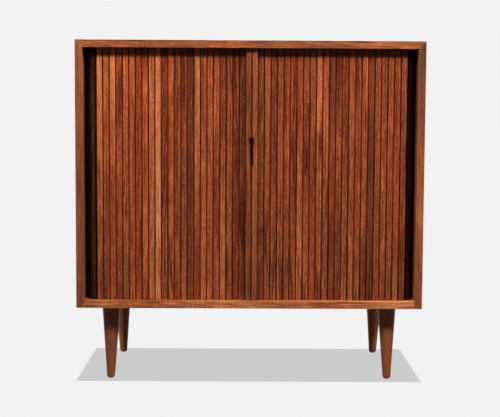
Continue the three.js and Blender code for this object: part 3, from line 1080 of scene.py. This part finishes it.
def shelf_pin(node):
    """A turned pin lying along X: a profile of distance along the pin and radius, from the end in
    the wall to the rounded end under the shelf, carried round the pin's axis."""
    low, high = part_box(node)
    side = math.copysign(1, low.x + high.x)
    inner, outer = sorted((abs(low.x), abs(high.x)))
    shank = pin_diameter / 2
    collar = pin_collar_diameter / 2
    collar_end = wall_face_x - pin_collar_thickness
    profile = np.array([
        [outer, shank - pin_arris], [outer - pin_arris, shank], [wall_face_x, shank],
        [wall_face_x, collar - pin_arris], [wall_face_x - pin_arris, collar],
        [collar_end + pin_arris, collar], [collar_end, collar - pin_arris], [collar_end, shank],
        [inner + 2 * pin_arris, shank], [inner + pin_arris, shank * pin_shoulder_share],
        [inner, shank * pin_tip_share],
    ])
    angles = np.linspace(0, 2 * math.pi, pin_around, endpoint=False) * -side
    centre_y = (low.y + high.y) / 2
    centre_z = (low.z + high.z) / 2
    shells = Shells()
    shells.add(np.stack([
        np.broadcast_to(side * profile[:, :1], (len(profile), pin_around)),
        centre_y + profile[:, 1:] * np.cos(angles),
        centre_z + profile[:, 1:] * np.sin(angles),
    ], axis=-1))
    stands_for(shells.piece(f"{node}_turned", [materials["steel"]]), "case", "steel", node)


def keep_solid(node, finish):
    """A node of the frame that is seen as it is, in its own finish."""
    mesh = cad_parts[node].data
    mesh.materials.clear()
    mesh.materials.append(materials[finish])


for node in list(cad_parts):
    if "_shelf_pin_" in node:
        shelf_pin(node)
    elif node.endswith("_leg_plate"):
        eased_board(node, materials["steel"], "steel", fitting_ease)
    elif node.endswith("_glide"):
        eased_board(node, materials["nylon"], "nylon", fitting_ease)
    elif node.endswith("_hanger_bolt"):
        keep_solid(node, "steel")
    elif node.startswith("track_stop"):
        keep_solid(node, "inner_wall")


# The camera, from a fit to the case's edges and the legs in the photograph's 500 by 417 frame
frame_width_px = 500
focal_px = 1174.1
camera_x = -22.17 * mm
camera_from_front = 3074.0 * mm
camera_z = 721.6 * mm
camera_pitch = math.radians(4.83)
camera_yaw = math.radians(0.42)
camera_roll = math.radians(0.31)
sensor_width = 36
nearest_seen = 0.05
farthest_seen = 200


def direction(azimuth, elevation):
    """From the object outwards; azimuth 0 is the front, and it grows towards the left."""
    return Vector((
        -math.sin(azimuth) * math.cos(elevation),
        -math.cos(azimuth) * math.cos(elevation),
        math.sin(elevation),
    ))


def make_camera():
    """A camera that looks back along its direction, turned by its roll."""
    data = bpy.data.cameras.new("camera")
    data.sensor_width = sensor_width
    data.lens = focal_px / frame_width_px * sensor_width
    data.clip_start = nearest_seen
    data.clip_end = farthest_seen
    camera = in_scene("camera", data)
    forward = -direction(camera_yaw, camera_pitch)
    right = Vector((math.cos(camera_yaw), -math.sin(camera_yaw), 0))
    up = right.cross(forward)
    rolled_right = right * math.cos(camera_roll) + up * math.sin(camera_roll)
    rolled_up = up * math.cos(camera_roll) - right * math.sin(camera_roll)
    turn = Matrix((rolled_right, rolled_up, -forward)).transposed()
    spot = Vector((camera_x, front_y - camera_from_front, camera_z))
    camera.matrix_world = Matrix.Translation(spot) @ turn.to_4x4()
    bpy.context.scene.camera = camera


# Light on the object: two near softboxes, upper left and upper right, a wide one above the front,
# a fill from behind, and low light on the back legs. A side of 1 is the left, -1 the right.
key_azimuth = math.radians(46)
key_reach = 2.5
key_rise = 2.25
key_width = 0.6
key_powers = {"left_key": (1, 76), "right_key": (-1, 111)}
ceiling_forward = 0.8
ceiling_height = 3.0
ceiling_width = 1.6
ceiling_power = 34
low_azimuth = math.radians(72)
low_elevation = math.radians(6)
low_softness = math.radians(12)
low_strengths = {"back_left": (1, 2.4), "back_right": (-1, 0.9)}
fill_azimuth = math.radians(150)
fill_elevation = math.radians(35)
fill_softness = math.radians(25)
fill_strength = 1.8

# The floor and the room: the background's colour and the shadow's share of it, the light straight
# from above that only the floor gets, and the dim light that both give the object
pale = (0.888, 0.888, 0.888)
shadow_share = 0.672
floor_reach = 60
floor_gives_back = 0.02
floor_bounce = 0.075
overhead_height = 3.0
overhead_softness = math.radians(0.6)
overhead_strength = 45
room_front = 0.06
room_back = 0.7
room_change = (0.1, 0.9)


def lamp(name, kind, spot, target, **settings):
    """A light at a spot, turned to its target, and itself out of sight."""
    data = bpy.data.lights.new(name, kind)
    for key, value in settings.items():
        setattr(data, key, value)
    light = in_scene(name, data)
    light.location = spot
    light.rotation_euler = (target - spot).to_track_quat("-Z", "Y").to_euler()
    light.visible_camera = False
    return light


def lights_only(light, objects, state):
    """The light reaches these objects alone, or all but these."""
    group = bpy.data.collections.new(f"{light.name}_reach")
    for item in objects:
        group.objects.link(item)
    for link in group.collection_objects:
        link.light_linking.link_state = state
    light.light_linking.receiver_collection = group


def make_floor():
    """A wide pale floor. Seen, it is the background's colour but for the shadow straight under
    the case; to the object it gives a dim even bounce."""
    mesh = bpy.data.meshes.new("floor")
    corners = [(-1, -1), (1, -1), (1, 1), (-1, 1)]
    mesh.from_pydata([(x * floor_reach, y * floor_reach, 0) for x, y in corners], [], [(0, 1, 2, 3)])
    floor = in_scene("floor", mesh)
    material, graph = new_material("pale_floor")
    shadow = graph.add("ShaderNodeEmission", None, {"Color": (*pale, 1), "Strength": shadow_share})
    lit = graph.add("ShaderNodeBsdfDiffuse", None, {"Color": (*[floor_gives_back] * 3, 1)})
    seen = graph.add("ShaderNodeAddShader", None, {0: shadow.outputs[0], 1: lit.outputs[0]})
    bounce = graph.add("ShaderNodeEmission", None,
                       {"Color": (*pale, 1), "Strength": floor_bounce / pale[0]})
    surface = graph.lit_and_seen(bounce, seen)
    graph.add("ShaderNodeOutputMaterial", None, {"Surface": surface})
    mesh.materials.append(material)
    return floor


def make_room():
    """The room's light: dim towards the camera's side and brighter behind, seen as plain pale."""
    world = bpy.data.worlds.new("room")
    world.use_nodes = True
    bpy.context.scene.world = world
    graph = Graph(world.node_tree)
    x, y, z = graph.parts(graph.add("ShaderNodeTexCoord").outputs["Generated"])
    strength = graph.span(y, *room_change) * (room_back - room_front) + room_front
    light = graph.add("ShaderNodeBackground", None, {"Color": (1, 1, 1, 1), "Strength": strength})
    seen = graph.add("ShaderNodeBackground", None, {"Color": (*pale, 1), "Strength": 1.0})
    surface = graph.lit_and_seen(light, seen)
    graph.add("ShaderNodeOutputWorld", None, {"Surface": surface})


def make_lights(floor):
    """All lamps. Only the one overhead reaches the floor, and the two low ones a leg each."""
    middle = Vector((0, 0, (cad_box[0].z + cad_box[1].z) / 2))
    for name, (side, power) in key_powers.items():
        spot = middle + direction(side * key_azimuth, 0) * key_reach + Vector((0, 0, key_rise))
        key = lamp(name, "AREA", spot, middle, shape="DISK", size=key_width, energy=power)
        lights_only(key, [floor], "EXCLUDE")
    wide = lamp("ceiling", "AREA", Vector((0, front_y - ceiling_forward, ceiling_height)), middle,
                shape="DISK", size=ceiling_width, energy=ceiling_power)
    lights_only(wide, [floor], "EXCLUDE")
    for corner, (side, strength) in low_strengths.items():
        spot = middle + direction(side * low_azimuth, low_elevation)
        low = lamp(f"low_{corner}", "SUN", spot, middle, energy=strength, angle=low_softness)
        lights_only(low, [legs[corner]], "INCLUDE")
    fill = lamp("fill", "SUN", middle + direction(-fill_azimuth, fill_elevation), middle,
                energy=fill_strength, angle=fill_softness)
    lights_only(fill, [floor], "EXCLUDE")
    overhead = lamp("overhead", "SUN", Vector((0, 0, overhead_height)), Vector(),
                    energy=overhead_strength, angle=overhead_softness)
    lights_only(overhead, [floor], "INCLUDE")


make_camera()
make_room()
make_lights(make_floor())
bpy.context.scene.view_settings.view_transform = "Standard"
